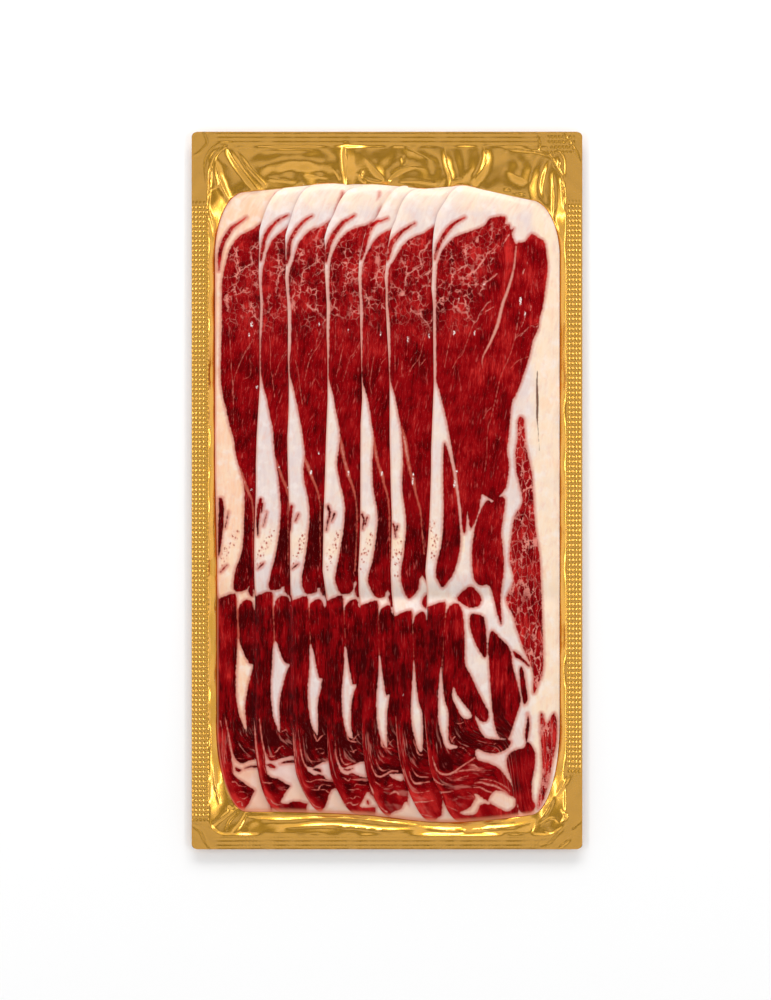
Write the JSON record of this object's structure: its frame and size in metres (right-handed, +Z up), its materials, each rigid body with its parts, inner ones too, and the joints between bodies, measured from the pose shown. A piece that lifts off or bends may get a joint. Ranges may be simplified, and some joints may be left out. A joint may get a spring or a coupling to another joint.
{
  "type": "cured shoulder ham pack",
  "caption": "Flat sealed pack of long cured shoulder ham slices, shingled on a shallow gold foil tray under a clear film.",
  "frame": {"origin": "middle of the pack's flat underside, at the bottom centre of its box", "axes": "+X across the pack to the picture's right, +Y along the pack to the picture's top, +Z up through the clear film"},
  "size_m": [0.147, 0.27, 0.0055],
  "materials": {
    "gold_foil": "bright gold lacquered foil, embossed along the seal",
    "cured_ham": "moist dark red lean meat with white fat and fine marbling",
    "clear_film": "thin clear glossy film"
  },
  "bodies": {
    "root": {"gold_tray": "gold_foil", "ham_slice_1": "cured_ham", "ham_slice_2": "cured_ham", "ham_slice_3": "cured_ham", "ham_slice_4": "cured_ham", "ham_slice_5": "cured_ham", "ham_slice_6": "cured_ham", "ham_slice_7": "cured_ham", "clear_film": "clear_film"}
  },
  "joints": []
}
